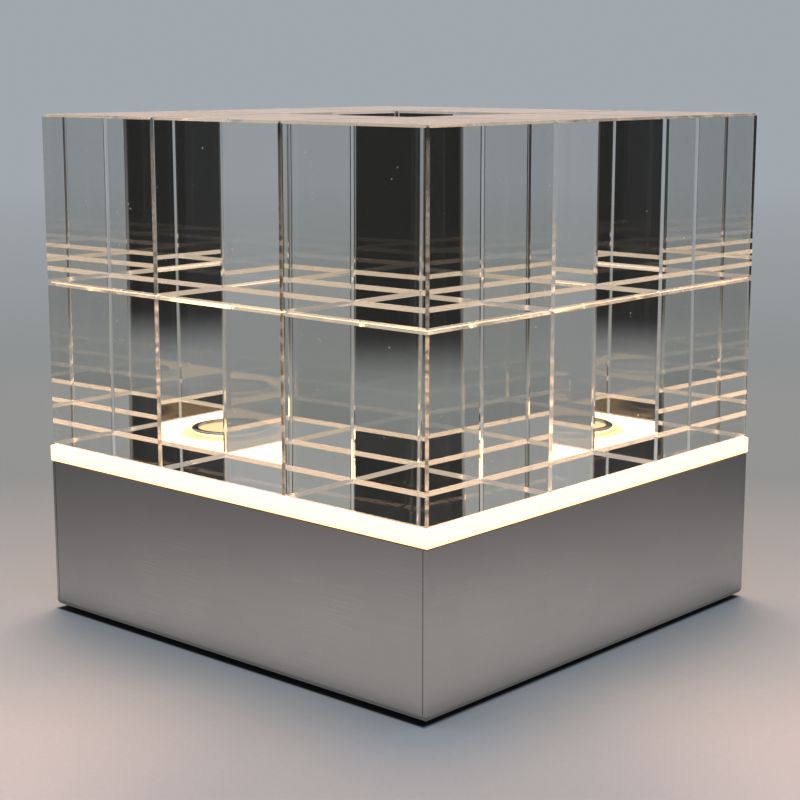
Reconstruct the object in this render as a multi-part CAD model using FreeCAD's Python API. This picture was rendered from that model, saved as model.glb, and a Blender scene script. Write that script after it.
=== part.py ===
import FreeCAD, Part
import math
import os

from FreeCAD import Vector

# LED cube light: two layers of clear crystal cubes round an open well, standing on a lit
# opal plate over a polished stainless base that holds the light source.
# Millimetres, +Z up, origin under the middle of the feet, front face towards -Y.

# ---------------------------------------------------------------- driving sizes
# crystal cubes
crystal_side = 49.6
crystal_height = 49.0
crystal_chamfer = 0.7
crystal_gap = 0.35
layer_gap = 0.2
seat_gap = 0.15
cubes_per_side = 3
layers = ("lower", "upper")

# lit plate, its seal and the ring fixing in the well
plate_thickness = 4.8
plate_overhang = 0.3
plate_edge_round = 0.5
seal_thickness = 0.3
seal_inset = 0.4
ring_outer = 24.0
ring_height = 1.9
ring_wall = 2.2
ring_round = 0.7
ring_shank = 20.2
ring_shank_wall = 1.8
ring_shank_length = 12.0
lens_thickness = 2.6
lens_sink = 0.7
lens_round = 0.4
ring_seal_width = 0.9
ring_seal_height = 0.8

# folded stainless base
base_margin = 0.25
tray_height = 44.8
sheet = 1.2
bend_outer = 1.8
corner_round = 0.35
seam_width = 0.4
seam_start = 2.0
foot_height = 1.0
foot_diameter = 12.0
foot_edge = 0.3
foot_stem = 4.8
foot_inset = 15.0
foot_bulb = 6.0
foot_bulb_height = 2.4
foot_bulb_shoulder = 0.7
foot_tip = 2.9
fixing_spacing = 100.0
fixing_hole = 4.5
grommet_bore = 6.5
grommet_groove = 10.5
grommet_flange = 14.0
grommet_lip = 0.7
grommet_inner_lip = 1.8
grommet_slope = 0.35
grommet_offset = 52.0

# light source
carrier_thickness = 2.0
carrier_clearance = 0.8
board_thickness = 1.6
board_inset = 2.0
led_rows = 8
led_edge = 4.0
led_length = 3.5
led_width = 2.8
led_height = 0.8
reflector_wall = 1.2
reflector_rest = 3.0
reflector_flange = 3.0
spot_board_diameter = 15.0
spot_led_side = 3.5
spot_dome_diameter = 2.8

# hollow post that the ring screws into
post_wall = 2.3
post_flange = 34.0
post_flange_thickness = 3.0
post_screw_circle = 29.8
post_screw_turns = (90, 210, 330)

# stand-offs, studs and screws
standoff_flats = 6.0
standoff_spigot = 4.2
standoff_thread_depth = 9.0
screw_diameter = 3.0
screw_head = 5.6
screw_head_height = 2.0
screw_head_round = 0.8
screw_recess_length = 3.4
screw_recess_width = 0.75
screw_recess_depth = 1.1
carrier_screw_length = 8.0
post_screw_length = 5.0
stud_length = 8.0
nut_flats = 5.5
nut_height = 2.4

# driver, terminal block and leads
driver_length = 70.0
driver_width = 34.0
driver_height = 17.0
driver_headroom = 3.0
driver_wall = 1.6
driver_corner = 3.0
moulding_round = 1.0
driver_board_thickness = 1.6
driver_board_lift = 4.5
driver_board_margin = 1.6
driver_post = 4.8
driver_post_inset_x = 9.6
driver_post_inset_y = 4.8
driver_lead_offset = 7.0
transformer_side = 13.2
transformer_window = 6.6
transformer_limb = 1.8
bobbin_overhang = 0.7
capacitor_diameter = 8.0
capacitor_inset = 14.0
ear_width = 9.0
ear_thickness = 2.0
ear_offset = 9.0
ear_round = 2.7
terminal_pitch = 10.0
terminal_poles = 3
terminal_width = 17.0
terminal_height = 13.0
terminal_gap = 26.0
clamp_outer = 5.0
clamp_bore = 2.8
clamp_end_inset = 2.0
clamp_screw = 2.6
clamp_slot_width = 0.7
clamp_slot_depth = 1.3
lead_diameter = 1.6
lead_pitch = 4.4
lead_height = 2.6
lead_entry = 2.1
lead_run = 8.0
lead_side_run = 11.0
lead_side_step = 5.5
lead_first_run = 10.0
lead_first_step = 6.6
lead_bend_share = 0.45
connector_side = 8.0
connector_height = 5.0
connector_depth = 2.0
connector_chamfer = 0.6
earth_reach = 38.0
lug_outer = 8.0
lug_thickness = 0.8
lug_barrel = 3.2
lug_barrel_length = 5.0

# named clearances
clearance = 0.05
hole_clearance = 0.2
running_room = 0.3

# ---------------------------------------------------------------- sizes that follow
stack_width = cubes_per_side * crystal_side + (cubes_per_side - 1) * crystal_gap
base_width = stack_width + 2 * base_margin
inner_width = base_width - 2 * sheet
plate_side = base_width + 2 * plate_overhang

floor_bottom = foot_height
floor_top = floor_bottom + sheet
tray_top = floor_bottom + tray_height
standoff_length = driver_height + driver_headroom
carrier_bottom = floor_top + standoff_length
carrier_top = carrier_bottom + carrier_thickness
board_top = carrier_top + board_thickness
plate_bottom = tray_top + seal_thickness
plate_top = plate_bottom + plate_thickness

carrier_side = inner_width - 2 * carrier_clearance
board_side = carrier_side - 2 * board_inset
reflector_bottom_opening = board_side - 2 * reflector_rest
reflector_top_opening = inner_width - 2 * (reflector_flange + running_room)
led_pitch = (reflector_bottom_opening - 2 * led_edge) / led_rows

post_bore = ring_shank + 2 * clearance
post_outer = post_bore + 2 * post_wall
board_opening = post_flange + 4 * hole_clearance

# the screws stand midway between rows of chips
standoff_x = led_pitch * led_rows / 2
standoff_y = led_pitch * led_rows / 4

connector_x = led_pitch * math.ceil((driver_length / 2 + lead_run) / led_pitch)
connector_y = -led_pitch
driver_y = connector_y - driver_lead_offset
driver_board_bottom = floor_top + driver_wall + driver_board_lift
driver_board_top = driver_board_bottom + driver_board_thickness
component_height = floor_top + driver_height - driver_wall - running_room - driver_board_top
lead_z = floor_top + lead_height
terminal_length = terminal_poles * terminal_pitch
terminal_face = driver_y + driver_width / 2 + terminal_gap
terminal_y = terminal_face + terminal_width / 2
foot_place = base_width / 2 - foot_inset


# ---------------------------------------------------------------- helpers
def block(size_x, size_y, size_z, low_z, centre_x=0.0, centre_y=0.0):
    """An upright box standing on low_z, centred in plan."""
    corner = Vector(centre_x - size_x / 2, centre_y - size_y / 2, low_z)
    return Part.makeBox(size_x, size_y, size_z, corner)


def rod(diameter, height, low_z, centre_x=0.0, centre_y=0.0):
    """An upright cylinder standing on low_z."""
    return Part.makeCylinder(diameter / 2, height, Vector(centre_x, centre_y, low_z))


def rod_y(diameter, length, low_y, centre_x, centre_z):
    """A cylinder lying along +Y from low_y."""
    return Part.makeCylinder(diameter / 2, length, Vector(centre_x, low_y, centre_z), Vector(0, 1, 0))


def hexagon(flats, height, low_z, centre_x=0.0, centre_y=0.0):
    """An upright hexagonal prism, given its width across flats."""
    radius = flats / math.sqrt(3)
    corners = [Vector(centre_x + radius * math.cos(math.radians(60 * step)),
                      centre_y + radius * math.sin(math.radians(60 * step)), low_z)
               for step in range(7)]
    return Part.Face(Part.makePolygon(corners)).extrude(Vector(0, 0, height))


def turned(profile, centre_x=0.0, centre_y=0.0):
    """A solid of revolution about an upright axis from (radius, height) points."""
    corners = [Vector(radius, 0, height) for radius, height in profile]
    face = Part.Face(Part.makePolygon(corners + corners[:1]))
    solid = face.revolve(Vector(0, 0, 0), Vector(0, 0, 1), 360)
    solid.translate(Vector(centre_x, centre_y, 0))
    return solid


def level_edges(shape, height):
    """The edges of a shape that lie level at the given height."""
    return [edge for edge in shape.Edges
            if all(abs(vertex.Z - height) < 1e-6 for vertex in edge.Vertexes)]


def upright_edges(shape):
    """The straight upright edges of a shape."""
    return [edge for edge in shape.Edges
            if edge.BoundBox.XLength < 1e-6 and edge.BoundBox.YLength < 1e-6]


def four_places(reach_x, reach_y):
    """The four corners of a rectangle about the middle."""
    return [(side_x * reach_x, side_y * reach_y) for side_x in (-1, 1) for side_y in (-1, 1)]


def square_loft(low_side, high_side, low_z, high_z):
    """A square block that tapers from one side length to another."""
    sections = []
    for side, height in ((low_side, low_z), (high_side, high_z)):
        half = side / 2
        corners = [Vector(-half, -half, height), Vector(half, -half, height),
                   Vector(half, half, height), Vector(-half, half, height)]
        sections.append(Part.makePolygon(corners + corners[:1]))
    return Part.makeLoft(sections, True, True)


def lead(points, diameter):
    """A round lead along straight runs joined by tangent arcs."""
    corners = [Vector(*point) for point in points]
    edges = []
    start = corners[0]
    for before, corner, after in zip(corners, corners[1:], corners[2:]):
        arriving = (corner - before).normalize()
        leaving = (after - corner).normalize()
        shorter_run = min((corner - before).Length, (after - corner).Length)
        setback = lead_bend_share * shorter_run
        half_turn = arriving.getAngle(leaving) / 2
        arc_start = corner - arriving * setback
        arc_end = corner + leaving * setback
        bisector = (leaving - arriving).normalize()
        radius = setback / math.tan(half_turn)
        sagitta = radius / math.cos(half_turn) - radius
        edges.append(Part.LineSegment(start, arc_start).toShape())
        edges.append(Part.Arc(arc_start, corner + bisector * sagitta, arc_end).toShape())
        start = arc_end
    edges.append(Part.LineSegment(start, corners[-1]).toShape())
    path = Part.Wire(edges)
    first_run = (corners[1] - corners[0]).normalize()
    section = Part.Wire([Part.makeCircle(diameter / 2, corners[0], first_run)])
    solid = path.makePipeShell([section], True, False)
    expected = math.pi * diameter ** 2 / 4 * path.Length
    print("lead length %.1f mm, volume ratio %.4f" % (path.Length, solid.Volume / expected))
    return solid


def pan_screw(length, under_head_z, centre_x, centre_y, head_up=True):
    """A pan-head screw with a cross recess; its head seats at under_head_z."""
    head = rod(screw_head, screw_head_height, 0)
    head = head.makeFillet(screw_head_round, level_edges(head, screw_head_height))
    for size_x, size_y in ((screw_recess_length, screw_recess_width),
                           (screw_recess_width, screw_recess_length)):
        head = head.cut(block(size_x, size_y, screw_recess_depth,
                              screw_head_height - screw_recess_depth))
    screw = head.fuse(rod(screw_diameter, length, -length)).removeSplitter()
    if not head_up:
        screw.rotate(Vector(0, 0, 0), Vector(1, 0, 0), 180)
    screw.translate(Vector(centre_x, centre_y, under_head_z))
    return screw


def ear(centre_x, centre_y):
    """A fixing ear on the floor, rounded at its outer end, with a hole for a stud."""
    length = 2 * (ear_reach + driver_wall / 2)
    plate = block(length, ear_width, ear_thickness, floor_top, centre_x, centre_y)
    outer_edges = [edge for edge in upright_edges(plate)
                   if abs(edge.BoundBox.Center.x) > abs(centre_x)]
    plate = plate.makeFillet(ear_round, outer_edges)
    return plate.cut(rod(screw_diameter + 2 * hole_clearance, ear_thickness, floor_top,
                         centre_x, centre_y))


# ---------------------------------------------------------------- fixing places
ear_reach = nut_flats / math.sqrt(3) + running_room
driver_ears = [(side * (driver_length / 2 + ear_reach), driver_y - side * ear_offset)
               for side in (-1, 1)]
terminal_ears = [(side * (terminal_length / 2 + ear_reach), terminal_y) for side in (-1, 1)]
earth_place = (terminal_pitch + earth_reach, terminal_y)
stud_seats = [(x, y, floor_top + ear_thickness) for x, y in driver_ears + terminal_ears]
stud_seats.append((earth_place[0], earth_place[1], floor_top + lug_thickness))


# ---------------------------------------------------------------- base
def base_tray():
    """The stainless tray: bent up along the bottom, with open seams at its corners."""
    outer = block(base_width, base_width, tray_height, floor_bottom)
    outer = outer.makeFillet(bend_outer, level_edges(outer, floor_bottom))
    outer = outer.makeFillet(corner_round, upright_edges(outer))
    inner = block(inner_width, inner_width, tray_height, floor_top)
    inner = inner.makeFillet(bend_outer - sheet, level_edges(inner, floor_top))
    tray = outer.cut(inner)
    # the side walls run through to the corners and the front and back walls butt against them
    for side_x, side_y in four_places(1, 1):
        seam_x = side_x * (inner_width / 2 - seam_width / 2)
        seam_y = side_y * (base_width / 2 - sheet / 2)
        seam = block(seam_width, 2 * sheet, tray_height, floor_bottom + seam_start, seam_x, seam_y)
        tray = tray.cut(seam)
    holes = [rod(standoff_spigot + 2 * clearance, sheet, floor_bottom, x, y)
             for x, y in four_places(standoff_x, standoff_y)]
    holes += [rod(foot_stem + 2 * clearance, sheet, floor_bottom, x, y)
              for x, y in four_places(foot_place, foot_place)]
    holes += [rod(fixing_hole, sheet, floor_bottom, x, y)
              for x, y in four_places(fixing_spacing / 2, fixing_spacing / 2)]
    holes.append(rod(grommet_groove + 2 * clearance, sheet, floor_bottom, 0, grommet_offset))
    return tray.cut(holes)


def rubber_foot(centre_x, centre_y):
    """A push-in foot: a disc below the floor, a stem through it and a bulb above."""
    radius = foot_diameter / 2
    stem = foot_stem / 2
    bulb = foot_bulb / 2
    profile = [(0, 0), (radius - foot_edge, 0), (radius, foot_edge), (radius, floor_bottom),
               (stem, floor_bottom), (stem, floor_top), (bulb, floor_top),
               (bulb, floor_top + foot_bulb_shoulder), (foot_tip / 2, floor_top + foot_bulb_height),
               (0, floor_top + foot_bulb_height)]
    return turned(profile, centre_x, centre_y)


def cable_grommet():
    """The rubber bush that lines the cable hole in the floor."""
    bore = grommet_bore / 2
    groove = grommet_groove / 2
    flange = grommet_flange / 2
    sloped = flange - grommet_slope
    profile = [(bore, floor_bottom - grommet_lip), (sloped, floor_bottom - grommet_lip),
               (flange, floor_bottom - grommet_slope), (flange, floor_bottom),
               (groove, floor_bottom), (groove, floor_top), (flange, floor_top),
               (sloped, floor_top + grommet_inner_lip), (bore, floor_top + grommet_inner_lip)]
    return turned(profile, 0, grommet_offset)


def standoff(centre_x, centre_y):
    """A hexagonal spacer pressed into the floor, tapped at its top."""
    body = hexagon(standoff_flats, standoff_length, floor_top, centre_x, centre_y)
    body = body.fuse(rod(standoff_spigot, sheet, floor_bottom, centre_x, centre_y))
    thread = rod(screw_diameter + 2 * clearance, standoff_thread_depth,
                 carrier_bottom - standoff_thread_depth, centre_x, centre_y)
    return body.cut(thread).removeSplitter()


def floor_studs():
    """Studs welded to the floor for the driver, the terminal block and the earth lug."""
    return Part.makeCompound([rod(screw_diameter, stud_length, floor_top, seat[0], seat[1])
                              for seat in stud_seats])


def stud_nuts():
    """One nut on each stud."""
    nuts = []
    for x, y, seat in stud_seats:
        nut = hexagon(nut_flats, nut_height, seat, x, y)
        nuts.append(nut.cut(rod(screw_diameter + 2 * clearance, nut_height, seat, x, y)))
    return Part.makeCompound(nuts)


# ---------------------------------------------------------------- light source
def lead_places():
    """Where the two output leads rise, one each side of the connector's middle."""
    return [(connector_x, connector_y + side * lead_pitch / 2) for side in (-1, 1)]


def with_fixing_holes(panel, low_z, thickness):
    """A panel with the holes that the stand-off screws and the leads pass through."""
    holes = [rod(screw_diameter + 2 * hole_clearance, thickness, low_z, x, y)
             for x, y in four_places(standoff_x, standoff_y)]
    holes += [rod(lead_diameter + 2 * hole_clearance, thickness, low_z, x, y)
              for x, y in lead_places()]
    return panel.cut(holes)


def post_screw_places():
    """Three places on the hollow post's screw circle."""
    radius = post_screw_circle / 2
    return [(radius * math.cos(math.radians(turn)), radius * math.sin(math.radians(turn)))
            for turn in post_screw_turns]


def carrier_plate():
    """The aluminium plate that carries the light source and spreads its heat."""
    plate = block(carrier_side, carrier_side, carrier_thickness, carrier_bottom)
    plate = plate.makeFillet(bend_outer, upright_edges(plate))
    plate = with_fixing_holes(plate, carrier_bottom, carrier_thickness)
    return plate.cut([rod(screw_diameter + 2 * hole_clearance, carrier_thickness,
                          carrier_bottom, x, y) for x, y in post_screw_places()])


def led_board():
    """The square board of chips, open in the middle for the hollow post."""
    board = block(board_side, board_side, board_thickness, carrier_top)
    board = board.makeFillet(bend_outer, upright_edges(board))
    board = with_fixing_holes(board, carrier_top, board_thickness)
    return board.cut(rod(board_opening, board_thickness, carrier_top))


def led_chips():
    """The square grid of chips, leaving out those that the hollow post takes the place of."""
    chips = []
    first = -(led_rows - 1) / 2 * led_pitch
    for column in range(led_rows):
        for row in range(led_rows):
            x = first + column * led_pitch
            y = first + row * led_pitch
            if math.hypot(x, y) < board_opening / 2 + led_length:
                continue
            chips.append(block(led_length, led_width, led_height, board_top, x, y))
    return Part.makeCompound(chips)


def carrier_screws():
    """The screws that hold the board and the carrier to the stand-offs."""
    return Part.makeCompound([pan_screw(carrier_screw_length, board_top, x, y)
                              for x, y in four_places(standoff_x, standoff_y)])


def reflector_frame():
    """The white moulded frame that widens from the board up to the plate."""
    outer = square_loft(reflector_bottom_opening + 2 * reflector_wall,
                        reflector_top_opening + 2 * reflector_wall, board_top, tray_top)
    flange = block(inner_width - 2 * running_room, inner_width - 2 * running_room,
                   reflector_wall, tray_top - reflector_wall)
    inner = square_loft(reflector_bottom_opening, reflector_top_opening, board_top, tray_top)
    return outer.fuse(flange).cut(inner).removeSplitter()


def spot_board():
    """The small round board that lights the lens in the well."""
    return rod(spot_board_diameter, board_thickness, carrier_top)


def spot_led():
    """The single chip in the middle of the round board, with its dome."""
    body = block(spot_led_side, spot_led_side, led_height, board_top)
    dome = Part.makeSphere(spot_dome_diameter / 2, Vector(0, 0, board_top + led_height))
    below = block(spot_dome_diameter, spot_dome_diameter, spot_dome_diameter,
                  board_top + led_height - spot_dome_diameter)
    return body.fuse(dome.cut(below))


def hollow_post():
    """The flanged tube under the well that the ring screws into."""
    bore = post_bore / 2
    profile = [(bore, carrier_top), (post_flange / 2, carrier_top),
               (post_flange / 2, carrier_top + post_flange_thickness),
               (post_outer / 2, carrier_top + post_flange_thickness),
               (post_outer / 2, plate_bottom), (bore, plate_bottom)]
    post = turned(profile)
    return post.cut([rod(screw_diameter + 2 * clearance, post_flange_thickness, carrier_top, x, y)
                     for x, y in post_screw_places()])


def post_screws():
    """The screws that hold the post's flange from under the carrier."""
    return Part.makeCompound([pan_screw(post_screw_length, carrier_bottom, x, y, head_up=False)
                              for x, y in post_screw_places()])


# ---------------------------------------------------------------- plate and well fixing
def seal_frame():
    """The flat seal between the base and the plate."""
    outer = block(base_width - 2 * seal_inset, base_width - 2 * seal_inset,
                  seal_thickness, tray_top)
    opening = block(reflector_top_opening, reflector_top_opening, seal_thickness, tray_top)
    return outer.cut(opening)


def diffuser_plate():
    """The opal plate, with the hole for the ring's shank."""
    plate = block(plate_side, plate_side, plate_thickness, plate_bottom)
    plate = plate.makeFillet(plate_edge_round, plate.Edges)
    return plate.cut(rod(ring_shank + 2 * hole_clearance, plate_thickness, plate_bottom))


def well_ring():
    """The polished ring: a rounded rim on the plate, a shank through it into the post."""
    rim = ring_outer / 2
    mouth = rim - ring_wall
    shank = ring_shank / 2
    bore = shank - ring_shank_wall
    lens_seat = plate_top + ring_height - lens_sink - lens_thickness
    profile = [(bore, plate_top - ring_shank_length), (shank, plate_top - ring_shank_length),
               (shank, plate_top), (rim, plate_top), (rim, plate_top + ring_height),
               (mouth, plate_top + ring_height), (mouth, lens_seat), (bore, lens_seat)]
    ring = turned(profile)
    ring = ring.makeFillet(ring_round, level_edges(ring, plate_top + ring_height))
    groove_inner = shank + hole_clearance
    groove = rod(2 * (groove_inner + ring_seal_width), ring_seal_height, plate_top)
    return ring.cut(groove.cut(rod(2 * groove_inner, ring_seal_height, plate_top)))


def ring_seal():
    """The square-section seal in the groove under the ring's rim."""
    inner = ring_shank / 2 + hole_clearance
    seal = rod(2 * (inner + ring_seal_width), ring_seal_height, plate_top)
    return seal.cut(rod(2 * inner, ring_seal_height, plate_top))


def well_lens():
    """The opal disc in the ring."""
    diameter = ring_outer - 2 * ring_wall - 2 * clearance
    lens = rod(diameter, lens_thickness, plate_top + ring_height - lens_sink - lens_thickness)
    return lens.makeFillet(lens_round, level_edges(lens, plate_top + ring_height - lens_sink))


# ---------------------------------------------------------------- crystal cubes
def crystal_places():
    """Name and middle of each cube in a layer, leaving out the middle of the square."""
    rows = ("front", "middle", "back")
    columns = ("left", "middle", "right")
    pitch = crystal_side + crystal_gap
    places = []
    for row_number, row in enumerate(rows):
        for column_number, column in enumerate(columns):
            if row == column == "middle":
                continue
            places.append((row + "_" + column, (column_number - 1) * pitch, (row_number - 1) * pitch))
    return places


def crystals():
    """Every cube of both layers, by name."""
    cube = block(crystal_side, crystal_side, crystal_height, 0)
    cube = cube.makeChamfer(crystal_chamfer, cube.Edges)
    named = {}
    for number, layer in enumerate(layers):
        low_z = plate_top + seat_gap + number * (crystal_height + layer_gap)
        for place, x, y in crystal_places():
            copy = cube.copy()
            copy.translate(Vector(x, y, low_z))
            named["crystal_" + layer + "_" + place] = copy
    return named


# ---------------------------------------------------------------- driver
def lead_holes_in_case(case):
    """The driver's case with a hole in each end wall for each lead."""
    hole = lead_diameter + 2 * hole_clearance
    for side in (-1, 1):
        for pair in (-1, 1):
            y = driver_y + side * driver_lead_offset + pair * lead_pitch / 2
            start = side * (driver_length / 2 - 2 * driver_wall)
            case = case.cut(Part.makeCylinder(hole / 2, 4 * driver_wall, Vector(start, y, lead_z),
                                              Vector(side, 0, 0)))
    return case


def driver_case():
    """The driver's moulded cover, open below, with a fixing ear at each end."""
    outer = block(driver_length, driver_width, driver_height, floor_top, 0, driver_y)
    outer = outer.makeFillet(driver_corner, upright_edges(outer))
    outer = outer.makeFillet(moulding_round, level_edges(outer, floor_top + driver_height))
    for x, y in driver_ears:
        outer = outer.fuse(ear(x, y))
    inner = block(driver_length - 2 * driver_wall, driver_width - 2 * driver_wall,
                  driver_height - driver_wall, floor_top, 0, driver_y)
    inner = inner.makeFillet(driver_corner - driver_wall, upright_edges(inner))
    return lead_holes_in_case(outer.cut(inner)).removeSplitter()


def driver_floor():
    """The plate that closes the driver's cover."""
    length = driver_length - 2 * driver_wall - 2 * clearance
    width = driver_width - 2 * driver_wall - 2 * clearance
    plate = block(length, width, driver_wall, floor_top, 0, driver_y)
    plate = plate.makeFillet(driver_corner - driver_wall, upright_edges(plate))
    posts = [rod(driver_post, driver_board_lift, floor_top + driver_wall, x, driver_y + y)
             for x, y in four_places(length / 2 - driver_post_inset_x,
                                     width / 2 - driver_post_inset_y)]
    return plate.fuse(posts).removeSplitter()


def driver_board():
    """The driver's board on its four posts."""
    margin = driver_wall + driver_board_margin
    return block(driver_length - 2 * margin, driver_width - 2 * margin,
                 driver_board_thickness, driver_board_bottom, 0, driver_y)


def driver_transformer():
    """The transformer: a wound bobbin through the window of its core."""
    window_height = component_height - 2 * transformer_limb
    window_low = driver_board_top + transformer_limb
    core = block(transformer_side, transformer_side, component_height, driver_board_top, 0, driver_y)
    window = block(transformer_window, transformer_side, window_height, window_low, 0, driver_y)
    bobbin = block(transformer_window - 2 * clearance, transformer_side + 2 * bobbin_overhang,
                   window_height - 2 * clearance, window_low + clearance, 0, driver_y)
    return Part.makeCompound([core.cut(window), bobbin])


def driver_capacitors():
    """The two electrolytic capacitors, one each side of the transformer."""
    reach = driver_length / 2 - capacitor_inset
    return Part.makeCompound([rod(capacitor_diameter, component_height, driver_board_top, x, driver_y)
                              for x in (-reach, reach)])


# ---------------------------------------------------------------- terminal block and leads
def pole_places():
    """The middle of each pole of the terminal block."""
    first = -(terminal_poles - 1) / 2 * terminal_pitch
    return [first + number * terminal_pitch for number in range(terminal_poles)]


def terminal_block():
    """The terminal block's moulding, one barrel hole and two screw wells to a pole."""
    body = block(terminal_length, terminal_width, terminal_height, floor_top, 0, terminal_y)
    body = body.makeFillet(moulding_round, level_edges(body, floor_top + terminal_height))
    for x, y in terminal_ears:
        body = body.fuse(ear(x, y))
    holes = []
    for x in pole_places():
        holes.append(rod_y(clamp_outer + 2 * clearance, terminal_width,
                           terminal_face, x, lead_z + running_room))
        holes += [rod(clamp_screw + 2 * hole_clearance, terminal_height, lead_z, x, y)
                  for y in screw_rows()]
    return body.cut(holes).removeSplitter()


def screw_rows():
    """The two rows of clamping screws."""
    return [terminal_y + side * terminal_width / 4 for side in (-1, 1)]


def terminal_clamps():
    """The brass barrels that the leads are clamped in."""
    length = terminal_width - 2 * clamp_end_inset
    clamps = []
    for x in pole_places():
        barrel = rod_y(clamp_outer, length, terminal_y - length / 2, x, lead_z + running_room)
        barrel = barrel.cut(rod_y(clamp_bore, length, terminal_y - length / 2, x, lead_z))
        clamps.append(barrel.cut([rod(clamp_screw + 2 * clearance, clamp_outer, lead_z, x, y)
                                  for y in screw_rows()]))
    return Part.makeCompound(clamps)


def terminal_screws():
    """The slotted clamping screws, two to a pole."""
    low = lead_z + clamp_bore / 2
    slot_low = low + clamp_outer - clamp_slot_depth
    screws = []
    for x in pole_places():
        for y in screw_rows():
            screw = rod(clamp_screw, clamp_outer, low, x, y)
            slot = block(clamp_screw, clamp_slot_width, clamp_slot_depth, slot_low, x, y)
            screws.append(screw.cut(slot))
    return Part.makeCompound(screws)


def input_lead(number):
    """One of the two leads from the terminal block round to the driver's input end."""
    start_y = terminal_face + clamp_end_inset + lead_entry
    turn_y = terminal_face - lead_first_run - number * lead_first_step
    side_x = -(driver_length / 2 + lead_side_run) - (1 - number) * lead_side_step
    end_y = driver_y - driver_lead_offset + (number - 0.5) * lead_pitch
    start_x = pole_places()[number]
    return lead([(start_x, start_y, lead_z), (start_x, turn_y, lead_z), (side_x, turn_y, lead_z),
                 (side_x, end_y, lead_z), (driver_wall - driver_length / 2, end_y, lead_z)],
                lead_diameter)


def output_lead(number):
    """One of the two leads from the driver up to the connector on the board."""
    x, y = lead_places()[number]
    return lead([(driver_length / 2 - driver_wall, y, lead_z), (x, y, lead_z),
                 (x, y, board_top + connector_depth)], lead_diameter)


def board_connector():
    """The push-in connector that the output leads rise into."""
    body = block(connector_side, connector_side, connector_height, board_top,
                 connector_x, connector_y)
    body = body.makeChamfer(connector_chamfer, level_edges(body, board_top + connector_height))
    return body.cut([rod(lead_diameter + 2 * clearance, connector_depth, board_top, x, y)
                     for x, y in lead_places()])


def earth_lead():
    """The lead from the terminal block's last pole to the lug on the earth stud."""
    start_x = pole_places()[-1]
    start_y = terminal_face + clamp_end_inset + lead_entry
    turn_y = terminal_face - lead_first_run
    end_y = terminal_y - lug_outer / 2 - lug_barrel_length
    return lead([(start_x, start_y, lead_z), (start_x, turn_y, lead_z),
                 (earth_place[0], turn_y, lead_z), (earth_place[0], end_y, lead_z)], lead_diameter)


def earth_lug():
    """The ring tongue on the earth stud and the barrel crimped on the lead."""
    x, y = earth_place
    barrel_start = y - lug_outer / 2 - lug_barrel_length
    tongue = rod(lug_outer, lug_thickness, floor_top, x, y)
    neck = block(lug_barrel, lug_barrel_length, lead_height, floor_top,
                 x, barrel_start + lug_barrel_length / 2)
    neck = neck.fuse(block(lug_barrel, lug_outer / 2, lug_thickness, floor_top, x, y - lug_outer / 4))
    barrel = rod_y(lug_barrel, lug_barrel_length, barrel_start, x, lead_z)
    lug = tongue.fuse(neck).fuse(barrel)
    lug = lug.cut(rod(screw_diameter + 2 * hole_clearance, lug_thickness, floor_top, x, y))
    return lug.removeSplitter()


# ---------------------------------------------------------------- the whole light
def all_pieces():
    """Every piece by its node name."""
    pieces = {
        "base_tray": base_tray(),
        "cable_grommet": cable_grommet(),
        "floor_studs": floor_studs(),
        "stud_nuts": stud_nuts(),
        "carrier_plate": carrier_plate(),
        "led_board": led_board(),
        "led_chips": led_chips(),
        "carrier_screws": carrier_screws(),
        "reflector_frame": reflector_frame(),
        "spot_board": spot_board(),
        "spot_led": spot_led(),
        "hollow_post": hollow_post(),
        "post_screws": post_screws(),
        "seal_frame": seal_frame(),
        "diffuser_plate": diffuser_plate(),
        "well_ring": well_ring(),
        "ring_seal": ring_seal(),
        "well_lens": well_lens(),
        "driver_case": driver_case(),
        "driver_floor": driver_floor(),
        "driver_board": driver_board(),
        "driver_transformer": driver_transformer(),
        "driver_capacitors": driver_capacitors(),
        "terminal_block": terminal_block(),
        "terminal_clamps": terminal_clamps(),
        "terminal_screws": terminal_screws(),
        "lead_live": input_lead(0),
        "lead_neutral": input_lead(1),
        "lead_positive": output_lead(0),
        "lead_negative": output_lead(1),
        "lead_earth": earth_lead(),
        "earth_lug": earth_lug(),
        "board_connector": board_connector(),
    }
    for number, (x, y) in enumerate(four_places(foot_place, foot_place), start=1):
        pieces["rubber_foot_%d" % number] = rubber_foot(x, y)
    for number, (x, y) in enumerate(four_places(standoff_x, standoff_y), start=1):
        pieces["standoff_%d" % number] = standoff(x, y)
    pieces.update(crystals())
    return pieces


os.makedirs("parts", exist_ok=True)
for node, shape in all_pieces().items():
    if not shape.isValid():
        print("not valid:", node)
    shape.exportStep("parts/" + node + ".step")
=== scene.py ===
"""Looks of the led cube light: crystal cubes on a lit opal plate over a stainless base.

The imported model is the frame. Pieces that show are modelled here over their nodes, and
the pieces inside the base keep their own shapes and get their finishes. Sizes are metres.
"""

from __future__ import annotations

import logging
import math
from dataclasses import dataclass, field
from enum import Enum
from typing import Iterable, Sequence, Union

import bmesh
import bpy
from mathutils import Matrix, Vector

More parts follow.
